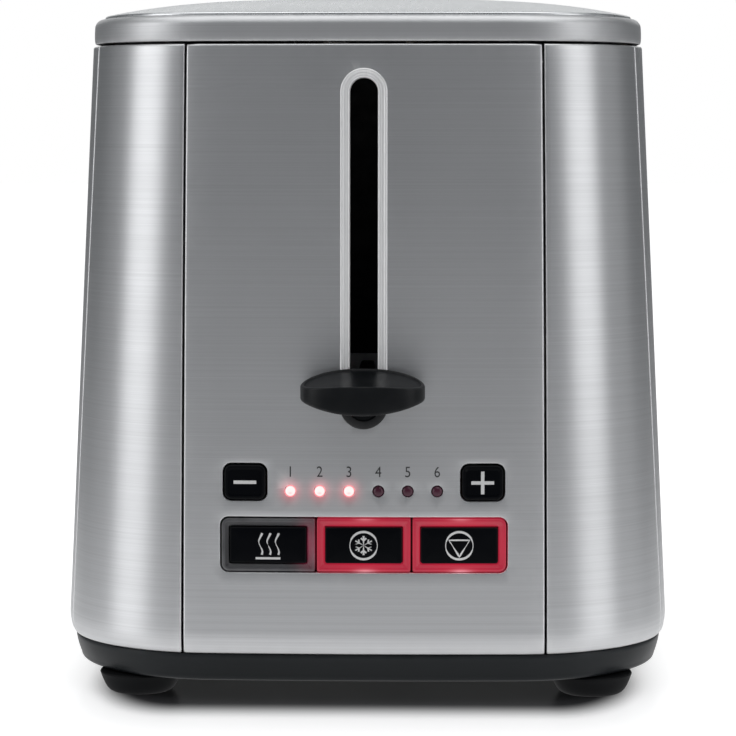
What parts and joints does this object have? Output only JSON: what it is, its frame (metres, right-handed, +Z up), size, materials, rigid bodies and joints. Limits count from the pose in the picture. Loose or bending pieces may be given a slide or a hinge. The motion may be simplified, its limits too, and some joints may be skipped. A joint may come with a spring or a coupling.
{
  "type": "pop up toaster",
  "caption": "Two-slice pop-up toaster in brushed steel with a front lever, lit function buttons, a browning row, a domed lid and a pull-out crumb tray.",
  "frame": {"origin": "centre of the footprint, on the surface that the feet stand on", "axes": "+Z up, -Y towards the lever end, +X to the right when facing the lever"},
  "size_m": [0.1784, 0.3048, 0.2023],
  "materials": {
    "brushed_steel": "fine horizontal brush grain, satin",
    "lid_steel": "finely brushed, brighter than the body",
    "base_plastic": "moulded, fine texture, near black",
    "foot_rubber": "matt black",
    "screw_zinc": "zinc plated",
    "sheet_zinc": "galvanised sheet",
    "trim_metal": "bright satin",
    "black_gloss": "smooth black moulding",
    "board_green": "solder mask",
    "led_lit": "lit red lamp",
    "led_dark": "unlit red lamp",
    "frame_lit": "translucent, lit red from behind",
    "frame_unlit": "translucent smoke grey",
    "wire_steel": "drawn wire",
    "core_iron": "stacked laminations",
    "coil_copper": "enamelled copper winding",
    "heater_mica": "mica card"
  },
  "bodies": {
    "root": {"base": "base_plastic", "button_carrier": "base_plastic", "carriage_spring": "wire_steel", "chassis_front_plate": "sheet_zinc", "chassis_rear_plate": "sheet_zinc", "control_board": "board_green", "cord_gland": "foot_rubber", "foot_front_left": "foot_rubber", "foot_front_right": "foot_rubber", "foot_rear_left": "foot_rubber", "foot_rear_right": "foot_rubber", "foot_screw_front_left": "screw_zinc", "foot_screw_front_right": "screw_zinc", "foot_screw_rear_left": "screw_zinc", "foot_screw_rear_right": "screw_zinc", "front_corner_left": "brushed_steel", "front_corner_right": "brushed_steel", "front_panel": "brushed_steel", "guide_rod": "wire_steel", "heat_shield_left": "sheet_zinc", "heat_shield_right": "sheet_zinc", "heater_centre": "heater_mica", "heater_left": "heater_mica", "heater_right": "heater_mica", "led_1": "led_lit", "led_2": "led_lit", "led_3": "led_lit", "led_4": "led_dark", "led_5": "led_dark", "led_6": "led_dark", "lever_slot_trim": "trim_metal", "lid_plate": "lid_steel", "lid_rim": "lid_steel", "magnet_coil": "coil_copper", "magnet_core": "core_iron", "rear_corner_left": "brushed_steel", "rear_corner_right": "brushed_steel", "rear_panel": "brushed_steel", "side_panel_left": "brushed_steel", "side_panel_right": "brushed_steel"},
    "lever_carriage": {"lever_knob": "black_gloss", "lever_arm": "sheet_zinc", "carriage": "sheet_zinc", "armature_plate": "core_iron", "bread_rack_left": "sheet_zinc", "bread_rack_right": "sheet_zinc"},
    "crumb_tray": {"crumb_tray": "sheet_zinc", "crumb_tray_handle": "base_plastic"},
    "button_minus": {"button_minus": "black_gloss"},
    "button_plus": {"button_plus": "black_gloss"},
    "button_reheat": {"button_reheat": "black_gloss", "light_frame_reheat": "frame_unlit"},
    "button_defrost": {"button_defrost": "black_gloss", "light_frame_defrost": "frame_lit"},
    "button_stop": {"button_stop": "black_gloss", "light_frame_stop": "frame_lit"},
    "bread_guard_left_outer": {"bread_guard_left_outer": "wire_steel"},
    "bread_guard_left_inner": {"bread_guard_left_inner": "wire_steel"},
    "bread_guard_right_outer": {"bread_guard_right_outer": "wire_steel"},
    "bread_guard_right_inner": {"bread_guard_right_inner": "wire_steel"}
  },
  "joints": [
    {"name": "lever_slide", "type": "slide", "parent": "root", "child": "lever_carriage", "axis": [0, 0, 1], "range_m": [0, 0.082], "deforming": ["carriage_spring"]},
    {"name": "guard_left_outer_slide", "type": "slide", "parent": "root", "child": "bread_guard_left_outer", "axis": [-1, 0, 0], "range_m": [0, 0.004]},
    {"name": "guard_left_inner_slide", "type": "slide", "parent": "root", "child": "bread_guard_left_inner", "axis": [1, 0, 0], "range_m": [0, 0.004]},
    {"name": "guard_right_outer_slide", "type": "slide", "parent": "root", "child": "bread_guard_right_outer", "axis": [1, 0, 0], "range_m": [0, 0.004]},
    {"name": "guard_right_inner_slide", "type": "slide", "parent": "root", "child": "bread_guard_right_inner", "axis": [-1, 0, 0], "range_m": [0, 0.004]},
    {"name": "button_minus_press", "type": "slide", "parent": "root", "child": "button_minus", "axis": [0, 0.9995, -0.031], "range_m": [0, 0.0015], "stiffness_N_per_m": 800},
    {"name": "button_plus_press", "type": "slide", "parent": "root", "child": "button_plus", "axis": [0, 0.9995, -0.031], "range_m": [0, 0.0015], "stiffness_N_per_m": 800},
    {"name": "button_reheat_press", "type": "slide", "parent": "root", "child": "button_reheat", "axis": [0, 0.9995, -0.031], "range_m": [0, 0.0015], "stiffness_N_per_m": 800},
    {"name": "button_defrost_press", "type": "slide", "parent": "root", "child": "button_defrost", "axis": [0, 0.9995, -0.031], "range_m": [0, 0.0015], "stiffness_N_per_m": 800},
    {"name": "button_stop_press", "type": "slide", "parent": "root", "child": "button_stop", "axis": [0, 0.9995, -0.031], "range_m": [0, 0.0015], "stiffness_N_per_m": 800},
    {"name": "crumb_tray_slide", "type": "slide", "parent": "root", "child": "crumb_tray", "axis": [0, 1, 0], "range_m": [0, 0.2]}
  ],
  "couplings": [
    {"joint": "guard_left_outer_slide", "follows": "lever_slide", "ratio": 0.0487},
    {"joint": "guard_left_inner_slide", "follows": "lever_slide", "ratio": 0.0487},
    {"joint": "guard_right_outer_slide", "follows": "lever_slide", "ratio": 0.0487},
    {"joint": "guard_right_inner_slide", "follows": "lever_slide", "ratio": 0.0487}
  ]
}
